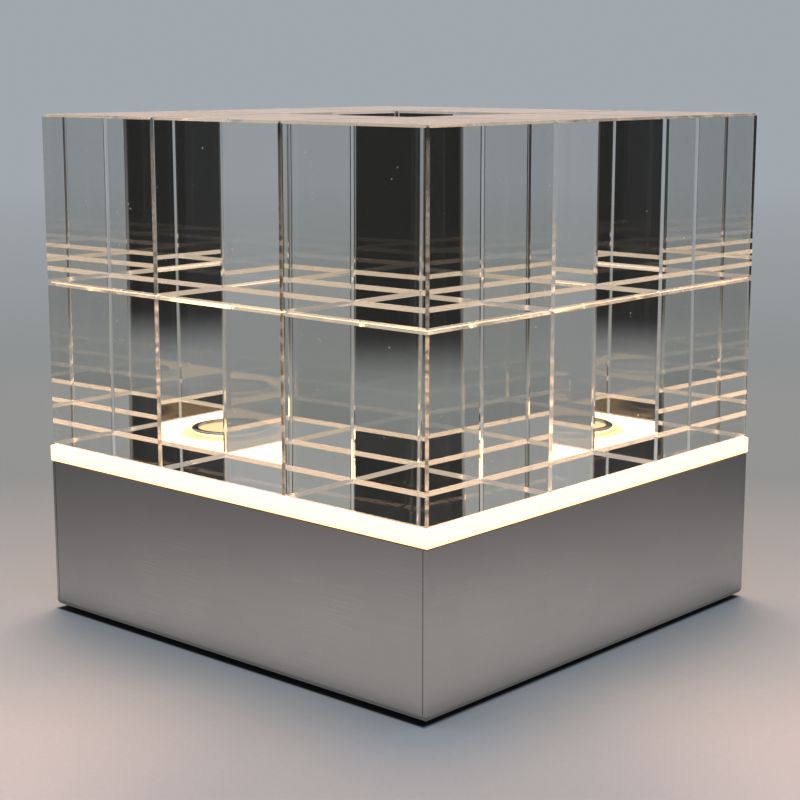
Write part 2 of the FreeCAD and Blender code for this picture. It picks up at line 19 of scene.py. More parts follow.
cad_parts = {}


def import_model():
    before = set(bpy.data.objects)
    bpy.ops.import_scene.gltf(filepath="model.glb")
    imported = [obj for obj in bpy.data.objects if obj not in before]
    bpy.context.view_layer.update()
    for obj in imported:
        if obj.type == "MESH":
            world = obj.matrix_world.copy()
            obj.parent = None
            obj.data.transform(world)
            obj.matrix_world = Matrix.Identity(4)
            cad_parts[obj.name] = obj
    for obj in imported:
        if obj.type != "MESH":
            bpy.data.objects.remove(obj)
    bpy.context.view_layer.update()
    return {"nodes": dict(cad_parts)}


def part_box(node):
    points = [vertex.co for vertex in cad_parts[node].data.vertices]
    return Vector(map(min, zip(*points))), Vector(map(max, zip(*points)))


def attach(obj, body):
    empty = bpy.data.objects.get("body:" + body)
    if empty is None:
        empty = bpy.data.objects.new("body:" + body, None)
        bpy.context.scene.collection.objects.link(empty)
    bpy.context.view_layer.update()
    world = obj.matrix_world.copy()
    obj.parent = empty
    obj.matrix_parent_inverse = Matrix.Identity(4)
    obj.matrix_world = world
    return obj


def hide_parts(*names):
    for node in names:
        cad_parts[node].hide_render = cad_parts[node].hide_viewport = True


LOG = logging.getLogger("cube_light")
MM = 0.001
ROOT = "root"
Colour = tuple[float, float, float]


class Pattern(Enum):
    """How a finish varies over a surface."""

    CLOUDY = "cloudy"
    GRAINED = "grained"
    TURNED = "turned"
    SPECKED = "specked"


class Layer(Enum):
    """The two layers of crystal cubes."""

    LOWER = "lower"
    UPPER = "upper"


# ------------------------------------------------------------------ node graphs
class Graph:
    """The node graph of a material or of the world, built one node at a time."""

    def __init__(self, tree: bpy.types.NodeTree) -> None:
        """Empties the tree.

        Args:
            tree: the node tree to build in.
        """
        self.tree = tree
        self.tree.nodes.clear()

    def add(self, kind: str, inputs: dict[str | int, object] | None = None,
            **settings: object) -> bpy.types.Node:
        """Adds a node.

        Args:
            kind: the node's Blender type.
            inputs: values or output sockets for its inputs, by name or number.
            settings: the node's own properties.

        Returns:
            The new node.
        """
        node = self.tree.nodes.new(kind)
        for name, value in settings.items():
            setattr(node, name, value)
        for key, value in (inputs or {}).items():
            if isinstance(value, bpy.types.NodeSocket):
                self.tree.links.new(value, node.inputs[key])
            else:
                node.inputs[key].default_value = value
        return node

    def maths(self, operation: str, *values: object) -> bpy.types.NodeSocket:
        """Adds a Math node.

        Args:
            operation: its operation.
            values: numbers or sockets.

        Returns:
            Its output.
        """
        return self.add("ShaderNodeMath", dict(enumerate(values)), operation=operation).outputs[0]

    def ramp(self, factor: bpy.types.NodeSocket, low: float, high: float,
             to_low: float = 0.0, to_high: float = 1.0, smooth: bool = True) -> bpy.types.NodeSocket:
        """Adds a Map Range node.

        Args:
            factor: the value to map.
            low: the value that gives to_low.
            high: the value that gives to_high.
            to_low: the lowest result.
            to_high: the highest result.
            smooth: whether the step eases in and out.

        Returns:
            Its output.
        """
        node = self.add("ShaderNodeMapRange", {0: factor, 1: low, 2: high, 3: to_low, 4: to_high},
                        interpolation_type="SMOOTHSTEP" if smooth else "LINEAR")
        return node.outputs[0]

    def blend(self, factor: object, first: object, second: object) -> bpy.types.NodeSocket:
        """Adds a colour Mix node.

        Args:
            factor: how much of the second colour.
            first: the first colour or socket.
            second: the second colour or socket.

        Returns:
            Its output.
        """
        node = self.add("ShaderNodeMix", data_type="RGBA")
        for number, value in ((0, factor), (6, first), (7, second)):
            if isinstance(value, bpy.types.NodeSocket):
                self.tree.links.new(value, node.inputs[number])
            else:
                node.inputs[number].default_value = value if number == 0 else (*value[:3], 1.0)
        return node.outputs[2]

    def noise(self, coordinates: bpy.types.NodeSocket, scale: float, detail: float = 3.0,
              rough: float = 0.5) -> bpy.types.NodeSocket:
        """Adds a Noise Texture and returns its value socket.

        Args:
            coordinates: where it is read.
            scale: cells to a metre.
            detail: octaves.
            rough: how strong the finer octaves are.

        Returns:
            Its value output.
        """
        return self.add("ShaderNodeTexNoise", {"Vector": coordinates, "Scale": scale,
                                               "Detail": detail, "Roughness": rough}).outputs[0]

    def tones(self, factor: bpy.types.NodeSocket, low: float, high: float,
              stops: Sequence[tuple[float, Colour]]) -> bpy.types.NodeSocket:
        """Adds a Color Ramp over a range of a value.

        Args:
            factor: the value.
            low: the value at the ramp's start.
            high: the value at its end.
            stops: values and their colours, in order.

        Returns:
            Its colour output.
        """
        node = self.add("ShaderNodeValToRGB", {0: self.ramp(factor, low, high, smooth=False)})
        marks = node.color_ramp.elements
        for number, (value, colour) in enumerate(stops):
            at = (value - low) / (high - low)
            mark = marks[number] if number < 2 else marks.new(at)
            mark.position, mark.color = at, (*colour, 1.0)
        return node.outputs[0]


def object_space(graph: Graph, stretch: Colour = (1.0, 1.0, 1.0)) -> bpy.types.NodeSocket:
    """Object coordinates, stretched for a pattern with a direction.

    Args:
        graph: the graph to build in.
        stretch: scale along each axis.

    Returns:
        The coordinates.
    """
    place = graph.add("ShaderNodeTexCoord").outputs["Object"]
    return graph.add("ShaderNodeMapping", {"Vector": place, "Scale": stretch}).outputs[0]


# ------------------------------------------------------------------ finishes
@dataclass(frozen=True)
class Finish:
    """A solid finish with a fine pattern in its colour, roughness and surface.

    The pattern moves the colour between two tones, the roughness by a spread, and the
    surface by a bump of a real depth.
    """

    name: str
    colour: Colour
    second: Colour
    metallic: float = 0.0
    roughness: float = 0.4
    spread: float = 0.08
    cells: float = 900.0
    bump_mm: float = 0.01
    pattern: Pattern = Pattern.CLOUDY
    stretch: Colour = (1.0, 1.0, 1.0)
    coat: float = 0.0
    glow: Colour | None = None
    glow_strength: float = 0.0

    def material(self) -> bpy.types.Material:
        """Makes the material.

        Returns:
            The material.
        """
        made = bpy.data.materials.new(self.name)
        made.use_nodes = True
        graph = Graph(made.node_tree)
        value = self._pattern(graph)
        shader = graph.add("ShaderNodeBsdfPrincipled", {
            "Metallic": self.metallic,
            "Base Color": graph.blend(value, self.colour, self.second),
            "Roughness": graph.ramp(value, 0.0, 1.0, max(self.roughness - self.spread, 0.02),
                                    self.roughness + self.spread, smooth=False),
            "Normal": graph.add("ShaderNodeBump", {"Height": value, "Strength": 0.6,
                                                   "Distance": self.bump_mm * MM}).outputs[0],
        })
        if self.coat:
            shader.inputs["Coat Weight"].default_value = self.coat
            shader.inputs["Coat Roughness"].default_value = 0.06
        if self.glow:
            shader.inputs["Emission Color"].default_value = (*self.glow, 1.0)
            shader.inputs["Emission Strength"].default_value = self.glow_strength
        graph.add("ShaderNodeOutputMaterial", {"Surface": shader.outputs[0]})
        return made

    def _pattern(self, graph: Graph) -> bpy.types.NodeSocket:
        """The pattern's value from 0 to 1.

        Args:
            graph: the graph to build in.

        Returns:
            The value.
        """
        place = object_space(graph, self.stretch)
        if self.pattern is Pattern.TURNED:
            parts = graph.add("ShaderNodeSeparateXYZ", {0: place})
            radius = graph.maths("SQRT", graph.maths(
                "ADD", graph.maths("MULTIPLY", parts.outputs[0], parts.outputs[0]),
                graph.maths("MULTIPLY", parts.outputs[1], parts.outputs[1])))
            wave = graph.maths("SINE", graph.maths("MULTIPLY", radius, self.cells * math.tau))
            broken = graph.noise(place, self.cells * 0.6)
            return graph.ramp(graph.maths("ADD", wave, broken), -1.0, 2.0, smooth=False)
        value = graph.noise(place, self.cells, 4.0, 0.6)
        if self.pattern is Pattern.SPECKED:
            return graph.ramp(value, 0.62, 0.70)
        return graph.ramp(value, 0.3, 0.7)


@dataclass(frozen=True)
class PolishedSheet:
    """Polished stainless sheet: a long soft grain, faint hand marks and a slight waviness."""

    name: str = "polished_stainless"
    colour: Colour = (0.512, 0.516, 0.515)
    roughness: float = 0.30
    grain_cells: float = 2600.0
    wave_cells: float = 14.0
    wave_mm: float = 0.05

    def material(self) -> bpy.types.Material:
        """Makes the material.

        Returns:
            The material.
        """
        made = bpy.data.materials.new(self.name)
        made.use_nodes = True
        graph = Graph(made.node_tree)
        along = object_space(graph, (0.02, 0.02, 1.0))
        grain = graph.noise(along, self.grain_cells, 3.0, 0.6)
        plain = object_space(graph)
        marks = graph.noise(plain, 45.0, 5.0, 0.65)
        waves = graph.noise(plain, self.wave_cells, 1.0, 0.3)
        rough = graph.maths("ADD", graph.ramp(grain, 0.3, 0.7, -0.03, 0.03),
                            graph.ramp(marks, 0.3, 0.7, self.roughness - 0.01, self.roughness + 0.02))
        fine = graph.add("ShaderNodeBump", {"Height": grain, "Strength": 0.25,
                                            "Distance": 0.004 * MM}).outputs[0]
        bent = graph.add("ShaderNodeBump", {"Height": waves, "Strength": 1.0,
                                            "Distance": self.wave_mm * MM, "Normal": fine}).outputs[0]
        shader = graph.add("ShaderNodeBsdfPrincipled", {
            "Metallic": 1.0,
            "Base Color": graph.blend(graph.ramp(marks, 0.3, 0.7), self.colour,
                                      tuple(0.985 * c for c in self.colour)),
            "Roughness": rough,
            "Normal": bent,
        })
        graph.add("ShaderNodeOutputMaterial", {"Surface": shader.outputs[0]})
        return made


@dataclass(frozen=True)
class ClearCrystal:
    """Optical crystal, polished all over, with a few specks of dust on its faces."""

    name: str = "clear_crystal"
    tint: Colour = (0.950, 0.949, 0.932)
    mirror: Colour = (0.5, 0.5, 0.5)
    index: float = 1.533
    speck_cells: float = 420.0

    def material(self) -> bpy.types.Material:
        """Makes the material.

        Returns:
            The material.
        """
        made = bpy.data.materials.new(self.name)
        made.use_nodes = True
        graph = Graph(made.node_tree)
        place = object_space(graph)
        cells = graph.add("ShaderNodeTexVoronoi", {"Vector": place, "Scale": self.speck_cells})
        kept = graph.ramp(graph.noise(place, 160.0, 2.0), 0.66, 0.70)
        speck = graph.maths("MULTIPLY", graph.ramp(cells.outputs["Distance"], 0.16, 0.08), kept)
        shader = graph.add("ShaderNodeBsdfPrincipled", {
            "Base Color": graph.blend(speck, self.tint, (0.96, 0.96, 0.95)),
            "Roughness": graph.ramp(speck, 0.0, 1.0, 0.0, 0.35, smooth=False),
            "Transmission Weight": graph.ramp(speck, 0.0, 1.0, 1.0, 0.6, smooth=False),
            "Specular Tint": (*self.mirror, 1.0),
            "IOR": self.index,
        })
        graph.add("ShaderNodeOutputMaterial", {"Surface": shader.outputs[0]})
        return made


@dataclass(frozen=True)
class PolishedChamfer:
    """A crystal's chamfer: less clear than the faces, with a painted glow for the plate's light, strongest
    near the plate.
    """

    name: str = "crystal_chamfer"
    tint: Colour = (0.985, 0.985, 0.98)
    index: float = 1.533
    roughness: float = 0.07
    spread: float = 0.006
    # Painted glow: the chamfer gives off light, fading from the plate up to the top of the stack.
    glow: Colour = (1.0, 0.80, 0.58)
    painted_glow_heights: tuple[float, float] = (0.052, 0.150)
    painted_glow_strengths: tuple[float, float] = (0.08, 0.012)

    def material(self) -> bpy.types.Material:
        """Makes the material.

        Returns:
            The material.
        """
        made = bpy.data.materials.new(self.name)
        made.use_nodes = True
        graph = Graph(made.node_tree)
        place = object_space(graph)
        uneven = graph.noise(place, 380.0, 3.0)
        height = graph.add("ShaderNodeSeparateXYZ", {0: place}).outputs[2]
        shader = graph.add("ShaderNodeBsdfPrincipled", {
            "Base Color": (*self.tint, 1.0),
            # Painted glow: emission that is strongest near the plate and weaker higher up.
            "Emission Color": (*self.glow, 1.0),
            "Emission Strength": graph.ramp(height, *self.painted_glow_heights, *self.painted_glow_strengths),
            "Roughness": graph.ramp(uneven, 0.3, 0.7, self.roughness - self.spread,
                                    self.roughness + self.spread),
            "Transmission Weight": 1.0,
            "IOR": self.index,
        })
        graph.add("ShaderNodeOutputMaterial", {"Surface": shader.outputs[0]})
        return made


@dataclass(frozen=True)
class LitOpal:
    """Opal plastic lit from behind: brightest at the rim, dimmer where it meets its seat, with painted shade
    round its middle.
    """

    name: str
    light: Colour
    rim_light: Colour
    rim: float
    seat_height: float
    seat_band: float
    # Painted shade: a dimmer, yellower light in a ring round the middle.
    ring_shade_light: Colour = (0.85, 0.52, 0.12)
    ring_shade_zone: tuple[float, float] = (0.0, 0.0001)
    well_light: Colour = (0.0, 0.0, 0.0)
    well: float = 0.0
    body: Colour = (0.92, 0.88, 0.76)
    seat_share: float = 0.62
    well_edge: float = 0.5 * MM
    rim_edge: tuple[float, float] = (0.8 * MM, 0.3 * MM)

    def material(self) -> bpy.types.Material:
        """Makes the material.

        Returns:
            The material.
        """
        made = bpy.data.materials.new(self.name)
        made.use_nodes = True
        graph = Graph(made.node_tree)
        place = object_space(graph)
        parts = graph.add("ShaderNodeSeparateXYZ", {0: place})
        reach = graph.maths("MAXIMUM", graph.maths("ABSOLUTE", parts.outputs[0]),
                            graph.maths("ABSOLUTE", parts.outputs[1]))
        level = graph.add("ShaderNodeVectorMath", {0: place, 1: (1.0, 1.0, 0.0)}, operation="MULTIPLY")
        radius = graph.add("ShaderNodeVectorMath", {0: level.outputs[0]}, operation="LENGTH").outputs["Value"]
        outer = graph.blend(graph.ramp(reach, self.well - self.well_edge, self.well), self.well_light,
                            self.light)
        # Painted shade: the light turns dimmer and yellower near the middle.
        colour = graph.blend(graph.ramp(radius, *self.ring_shade_zone), self.ring_shade_light, outer)
        starts, ends = self.rim_edge
        colour = graph.blend(graph.ramp(reach, self.rim - starts, self.rim - ends), colour, self.rim_light)
        seat = graph.ramp(parts.outputs[2], self.seat_height, self.seat_height + self.seat_band,
                          self.seat_share, 1.0)
        cloud = graph.ramp(graph.noise(place, 60.0, 2.0), 0.2, 0.8, 0.97, 1.03)
        fine = graph.noise(place, 2400.0, 2.0)
        shader = graph.add("ShaderNodeBsdfPrincipled", {
            "Base Color": graph.blend(graph.ramp(fine, 0.3, 0.7), self.body,
                                      tuple(0.97 * c for c in self.body)),
            "Roughness": graph.ramp(fine, 0.3, 0.7, 0.32, 0.44),
            "Emission Color": colour,
            "Emission Strength": graph.maths("MULTIPLY", seat, cloud),
            "Normal": graph.add("ShaderNodeBump", {"Height": fine, "Strength": 0.4,
                                                   "Distance": 0.006 * MM}).outputs[0],
        })
        graph.add("ShaderNodeOutputMaterial", {"Surface": shader.outputs[0]})
        return made


AnyFinish = Union[Finish, PolishedSheet, ClearCrystal, PolishedChamfer, LitOpal]

CHROME = Finish("polished_chrome", (0.78, 0.78, 0.79), (0.74, 0.74, 0.75), metallic=1.0, roughness=0.06,
                spread=0.03, cells=9000.0, bump_mm=0.002, pattern=Pattern.TURNED)
RUBBER = Finish("black_rubber", (0.022, 0.022, 0.023), (0.035, 0.035, 0.036), roughness=0.62,
                cells=1600.0, bump_mm=0.03)
SEAL = Finish("seal_foam", (0.105, 0.085, 0.055), (0.075, 0.062, 0.042), roughness=0.75, cells=1900.0,
              bump_mm=0.03)
ALUMINIUM = Finish("satin_aluminium", (0.70, 0.70, 0.71), (0.62, 0.62, 0.63), metallic=1.0, roughness=0.34,
                   cells=2200.0, stretch=(0.03, 1.0, 1.0))
BOARD_WHITE = Finish("white_solder_mask", (0.86, 0.86, 0.84), (0.80, 0.80, 0.78), roughness=0.35,
                     cells=2500.0, bump_mm=0.004, coat=0.3)
PHOSPHOR = Finish("phosphor_gel", (0.93, 0.74, 0.22), (0.88, 0.66, 0.16), roughness=0.3, cells=4000.0,
                  glow=(1.0, 0.88, 0.62), glow_strength=4.0)
REFLECTOR = Finish("white_moulding", (0.88, 0.88, 0.87), (0.83, 0.83, 0.82), roughness=0.55, cells=1500.0)
DRIVER_CASE = Finish("driver_moulding", (0.80, 0.80, 0.78), (0.74, 0.74, 0.72), roughness=0.48,
                     cells=2100.0, bump_mm=0.02)
BOARD_GREEN = Finish("green_solder_mask", (0.03, 0.19, 0.07), (0.02, 0.13, 0.05), roughness=0.3,
                     cells=1400.0, bump_mm=0.005, coat=0.4)
TRANSFORMER = Finish("winding_tape", (0.70, 0.52, 0.06), (0.58, 0.42, 0.04), roughness=0.42, cells=1200.0,
                     stretch=(1.0, 1.0, 6.0))
CAPACITOR = Finish("capacitor_sleeve", (0.035, 0.045, 0.085), (0.025, 0.03, 0.06), roughness=0.28,
                   cells=1500.0, coat=0.3)
TERMINAL = Finish("terminal_moulding", (0.84, 0.84, 0.81), (0.77, 0.77, 0.74), roughness=0.38, cells=1800.0)
BRASS = Finish("bright_brass", (0.74, 0.55, 0.22), (0.62, 0.44, 0.16), metallic=1.0, roughness=0.26,
               cells=2600.0, stretch=(1.0, 1.0, 0.05))
ZINC = Finish("zinc_plate", (0.64, 0.65, 0.66), (0.56, 0.57, 0.60), metallic=1.0, roughness=0.3,
              cells=3000.0)
TINNED = Finish("tinned_copper", (0.72, 0.71, 0.69), (0.62, 0.61, 0.59), metallic=1.0, roughness=0.38,
                cells=2600.0)


def sheath(name: str, colour: Colour) -> Finish:
    """The insulation of a lead.

    Args:
        name: the material's name.
        colour: its main tone.

    Returns:
        The finish.
    """
    return Finish(name, colour, tuple(0.8 * c for c in colour), roughness=0.36, cells=1300.0, coat=0.2)


# ------------------------------------------------------------------ modelling
class Bench:
    """Makes a mesh piece from a bmesh and puts it in the frame."""

    def __init__(self) -> None:
        """Starts with no finishes made."""
        self._made: dict[str, bpy.types.Material] = {}

    def finish(self, kind: AnyFinish) -> bpy.types.Material:
        """The material of a finish, made once.

        Args:
            kind: the finish.

        Returns:
            The material.
        """
        if kind.name not in self._made:
            self._made[kind.name] = kind.material()
        return self._made[kind.name]

    def place(self, name: str, shape: bmesh.types.BMesh, kind: AnyFinish,
              slot: str, nodes: Sequence[str], smooth_deg: float = 32.0,
              others: Sequence[AnyFinish] = ()) -> bpy.types.Object:
        """Turns a bmesh into a piece that stands for CAD nodes.

        Args:
            name: the piece's name.
            shape: its shape, in the frame; freed here.
            kind: its finish.
            slot: the record's material slot; not used.
            nodes: the CAD nodes that it stands for.
            smooth_deg: edges flatter than this are shaded smooth.
            others: finishes for the faces with a material number above 0.

        Returns:
            The piece.
        """
        bmesh.ops.remove_doubles(shape, verts=shape.verts, dist=0.0005 * MM)
        bmesh.ops.recalc_face_normals(shape, faces=shape.faces)
        mesh = bpy.data.meshes.new(name)
        shape.to_mesh(mesh)
        shape.free()
        mesh.shade_smooth()
        mesh.set_sharp_from_angle(angle=math.radians(smooth_deg))
        for each in (kind, *others):
            mesh.materials.append(self.finish(each))
        piece = bpy.data.objects.new(name, mesh)
        bpy.context.scene.collection.objects.link(piece)
        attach(piece, ROOT)
        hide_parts(*nodes)
        LOG.info("%s: %d faces, stands for %s", name, len(mesh.polygons), ", ".join(nodes))
        return piece

    def dress(self, nodes: dict[str, bpy.types.Object], names: Iterable[str], kind: Finish) -> None:
        """Gives CAD nodes their finish.

        Args:
            nodes: the frame's nodes.
            names: which of them.
            kind: the finish.
        """
        for name in names:
            mesh = nodes[name].data
            mesh.materials.clear()
            mesh.materials.append(self.finish(kind))
            LOG.info("%s: %s", name, kind.name)


def box_shape(low: Vector, high: Vector) -> bmesh.types.BMesh:
    """A block between two corners.

    Args:
        low: its lowest corner.
        high: its highest corner.

    Returns:
        The block.
    """
    shape = bmesh.new()
    size = high - low
    place = Matrix.Translation((low + high) / 2) @ Matrix.Diagonal((*size, 1.0))
    bmesh.ops.create_cube(shape, size=1.0, matrix=place)
    return shape


def rounded(shape: bmesh.types.BMesh, edges: Iterable[bmesh.types.BMEdge], width: float,
            steps: int) -> None:
    """Rounds edges, or chamfers them with one step.

    Args:
        shape: the shape.
        edges: the edges.
        width: how far the rounding reaches along each face.
        steps: how many faces it has.
    """
    bmesh.ops.bevel(shape, geom=list(edges), offset=width, offset_type="OFFSET", segments=steps,
                    profile=0.5, affect="EDGES", material=-1, clamp_overlap=True)


def turned(profile: Sequence[tuple[float, float]], steps: int = 96, at: Vector | None = None,
           round_width: float = 0.0, round_points: Sequence[int] = (),
           closed: bool = True) -> bmesh.types.BMesh:
    """A turned piece from a profile of (radius, height) points.

    Args:
        profile: the profile's points.
        steps: faces round the axis.
        at: where its axis stands.
        round_width: how far a rounded point's arc reaches.
        round_points: the profile points that are rounded.
        closed: whether the profile's ends join.

    Returns:
        The piece.
    """
    shape = bmesh.new()
    points = [shape.verts.new((radius, 0.0, height)) for radius, height in profile]
    for first, second in zip(points, points[1:]):
        shape.edges.new((first, second))
    if closed:
        shape.edges.new((points[-1], points[0]))
    if round_points:
        bmesh.ops.bevel(shape, geom=[points[n] for n in round_points], offset=round_width,
                        offset_type="OFFSET", segments=6, profile=0.5, affect="VERTICES", material=-1)
    bmesh.ops.spin(shape, geom=shape.verts[:] + shape.edges[:], cent=(0, 0, 0), axis=(0, 0, 1),
                   angle=math.tau, steps=steps, use_merge=True)
    if at is not None:
        bmesh.ops.translate(shape, verts=shape.verts, vec=at)
    return shape


# ------------------------------------------------------------------ crystal cubes
@dataclass
class CrystalStack:
    """Two layers of eight clear cubes round the open well."""

    bench: Bench
    chamfer: float = 0.7 * MM
    rows: tuple[str, ...] = ("front", "middle", "back")
    columns: tuple[str, ...] = ("left", "middle", "right")

    def places(self) -> list[str]:
        """The end of each cube's name, leaving out the well.

        Returns:
            The names' ends.
        """
        return [f"{row}_{column}" for row in self.rows for column in self.columns
                if not row == column == "middle"]

    def cube(self, node: str) -> bmesh.types.BMesh:
        """One cube with its chamfers.

        Args:
            node: the CAD node that it stands for.

        Returns:
            The cube.
        """
        shape = box_shape(*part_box(node))
        rounded(shape, shape.edges, self.chamfer, 1)
        shape.normal_update()
        for face in shape.faces:
            face.material_index = 0 if max(abs(part) for part in face.normal) > 0.99 else 1
        return shape

    def build(self) -> None:
        """Makes every cube. The lamp's light passes the cubes, so they cast no shadow."""
        crystal = ClearCrystal()
        for layer in Layer:
            for place in self.places():
                node = f"crystal_{layer.value}_{place}"
                cube = self.bench.place(f"cube_{layer.value}_{place}", self.cube(node), crystal,
                                        "crystal", [node], smooth_deg=1.0, others=[PolishedChamfer()])
                cube.visible_shadow = False


# ------------------------------------------------------------------ lit plate and the ring in the well
@dataclass
class LitDeck:
    """The lit plate, the seal under it, and the ring and lens in the well."""

    bench: Bench
    plate_round: float = 0.5 * MM
    ring_wall: float = 2.2 * MM
    ring_round: float = 0.7 * MM
    shank_radius: float = 10.1 * MM
    shank_wall: float = 1.8 * MM
    hole_room: float = 0.2 * MM
    lens_thickness: float = 2.6 * MM
    lens_sink: float = 0.7 * MM
    lens_crown: float = 0.25 * MM
    lens_round: float = 0.35 * MM
    crown_steps: int = 8

    def plate(self) -> bmesh.types.BMesh:
        """The opal plate with rounded edges and the hole for the ring's shank.

        Returns:
            The plate.
        """
        low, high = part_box("diffuser_plate")
        shape = box_shape(low, high)
        rounded(shape, shape.edges, self.plate_round, 6)
        rims = []
        for height in (low.z, high.z):
            flat = [face for face in shape.faces if abs(face.calc_center_median().z - height) < 1e-7]
            edge = [e for e in flat[0].edges]
            bmesh.ops.delete(shape, geom=flat, context="FACES_ONLY")
            ring = bmesh.ops.create_circle(shape, segments=64, radius=self.shank_radius + self.hole_room,
                                           matrix=Matrix.Translation((0, 0, height)))["verts"]
            hole = list({e for vert in ring for e in vert.link_edges})
            bmesh.ops.triangle_fill(shape, use_beauty=True, use_dissolve=False, edges=edge + hole)
            rims += hole
        bmesh.ops.bridge_loops(shape, edges=rims)
        return shape

    def ring(self) -> bmesh.types.BMesh:
        """The polished ring: a rounded rim and the shank that goes down into the post.

        Returns:
            The ring.
        """
        low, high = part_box("well_ring")
        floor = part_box("diffuser_plate")[1].z
        rim, mouth = high.x, high.x - self.ring_wall
        bore = self.shank_radius - self.shank_wall
        seat = high.z - self.lens_sink - self.lens_thickness
        profile = [(bore, low.z), (self.shank_radius, low.z), (self.shank_radius, floor), (rim, floor),
                   (rim, high.z), (mouth, high.z), (mouth, seat), (bore, seat)]
        return turned(profile, 128, round_width=self.ring_round, round_points=(4, 5))

    def lens(self) -> bmesh.types.BMesh:
        """The opal disc, slightly crowned, with a rounded edge.

        Returns:
            The disc.
        """
        low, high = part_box("well_lens")
        edge = high.x
        out = [1 - n / self.crown_steps for n in range(self.crown_steps)]
        crown = [(edge * share, high.z - self.lens_crown * share ** 2) for share in out]
        profile = [(0.0, low.z), (edge, low.z), *crown, (0.0, high.z)]
        return turned(profile, 96, round_width=self.lens_round, round_points=(2,), closed=False)

    def build(self, nodes: dict[str, bpy.types.Object]) -> None:
        """Makes the plate, the ring and the lens, and dresses the seals.

        Args:
            nodes: the frame's nodes.
        """
        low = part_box("diffuser_plate")[0].z
        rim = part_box("diffuser_plate")[1].x
        # The plate's light is dimmer and yellower round the chrome ring: painted shade of the ring.
        plate_light = LitOpal("lit_plate", (3.0, 1.75, 1.05), (2.6, 1.5, 0.55), rim, low, 1.4 * MM,
                              ring_shade_light=(1.3, 0.85, 0.30), ring_shade_zone=(13.5 * MM, 17.0 * MM),
                              well_light=(5.0, 3.0, 1.0), well=25.0 * MM)
        lens_low, lens_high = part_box("well_lens")
        lens_light = LitOpal("lit_lens", (0.74, 0.48, 0.15), (0.74, 0.48, 0.15), lens_high.x, lens_low.z,
                             1.0 * MM)
        self.bench.place("opal_plate", self.plate(), plate_light, "opal_lit", ["diffuser_plate"])
        self.bench.place("chrome_ring", self.ring(), CHROME, "chrome", ["well_ring"])
        self.bench.place("opal_lens", self.lens(), lens_light, "lens_lit", ["well_lens"])
        self.bench.dress(nodes, ("seal_frame", "ring_seal"), SEAL)


# ------------------------------------------------------------------ stainless base
@dataclass
class FoldedBase:
    """The folded stainless tray, its feet and its cable bush."""

    bench: Bench
    sheet: float = 1.2 * MM
    seam: float = 0.4 * MM
    closed: float = 0.2 * MM
    foot_height: float = 1.0 * MM
    foot_edge: float = 0.3 * MM
    stem_radius: float = 2.4 * MM
    bulb_radius: float = 3.0 * MM
    bulb_start: float = 2.2 * MM
    bulb_shoulder: float = 0.7 * MM
    tip_radius: float = 1.45 * MM

    def tray(self, node: bpy.types.Object) -> bmesh.types.BMesh:
        """The tray, merged from a copy of its node.

        Args:
            node: the tray's node.

        Returns:
            The tray.
        """
        shape = bmesh.new()
        shape.from_mesh(node.data)
        bmesh.ops.remove_doubles(shape, verts=shape.verts, dist=0.001 * MM)
        bmesh.ops.dissolve_limit(shape, angle_limit=math.radians(0.5), verts=shape.verts,
                                 edges=shape.edges)
        edge = max(point.co.x for point in shape.verts) - self.sheet - self.seam
        for point in shape.verts:
            if abs(abs(point.co.x) - edge) < 0.02 * MM:
                point.co.x += math.copysign(self.closed, point.co.x)
        return shape

    def foot(self, node: str) -> bmesh.types.BMesh:
        """A rubber foot with its stem and bulb.

        Args:
            node: the foot's node.

        Returns:
            The foot.
        """
        low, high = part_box(node)
        middle = (low + high) / 2
        radius = high.x - middle.x
        floor, top = self.foot_height, self.bulb_start
        profile = [(0.0, 0.0), (radius, 0.0), (radius, floor), (self.stem_radius, floor),
                   (self.stem_radius, top), (self.bulb_radius, top),
                   (self.bulb_radius, top + self.bulb_shoulder), (self.tip_radius, high.z), (0.0, high.z)]
        return turned(profile, 48, Vector((middle.x, middle.y, 0.0)), self.foot_edge, (1, 6), closed=False)

    def build(self, nodes: dict[str, bpy.types.Object]) -> None:
        """Makes the tray and the feet, and dresses the bush.

        Args:
            nodes: the frame's nodes.
        """
        self.bench.place("folded_tray", self.tray(nodes["base_tray"]), PolishedSheet(), "stainless",
                         ["base_tray"])
        for number in range(1, 5):
            node = f"rubber_foot_{number}"
            self.bench.place(f"foot_{number}", self.foot(node), RUBBER, "rubber", [node])
        self.bench.dress(nodes, ("cable_grommet",), RUBBER)


# ------------------------------------------------------------------ what the base holds
@dataclass
class InnerGear:
    """The light source, the driver and the wiring, which keep their CAD shapes."""

    bench: Bench
    finishes: dict[str, Finish] = field(default_factory=lambda: {
        "floor_studs": ZINC, "stud_nuts": ZINC, "carrier_screws": ZINC, "post_screws": ZINC,
        "terminal_screws": ZINC, "carrier_plate": ALUMINIUM, "hollow_post": ALUMINIUM,
        "led_board": BOARD_WHITE, "spot_board": BOARD_WHITE, "led_chips": PHOSPHOR, "spot_led": PHOSPHOR,
        "reflector_frame": REFLECTOR, "driver_case": DRIVER_CASE, "driver_floor": DRIVER_CASE,
        "driver_board": BOARD_GREEN, "driver_transformer": TRANSFORMER, "driver_capacitors": CAPACITOR,
        "terminal_block": TERMINAL, "board_connector": TERMINAL, "terminal_clamps": BRASS,
        "standoff_1": BRASS, "standoff_2": BRASS, "standoff_3": BRASS, "standoff_4": BRASS,
        "earth_lug": TINNED,
        "lead_live": sheath("sheath_brown", (0.16, 0.065, 0.025)),
        "lead_neutral": sheath("sheath_blue", (0.03, 0.13, 0.42)),
        "lead_positive": sheath("sheath_red", (0.50, 0.03, 0.02)),
        "lead_negative": sheath("sheath_black", (0.018, 0.018, 0.018)),
        "lead_earth": sheath("sheath_green", (0.16, 0.42, 0.05)),
    })

    def build(self, nodes: dict[str, bpy.types.Object]) -> None:
        """Dresses every inner piece.

        Args:
            nodes: the frame's nodes.
        """
        for name, kind in self.finishes.items():
            self.bench.dress(nodes, (name,), kind)


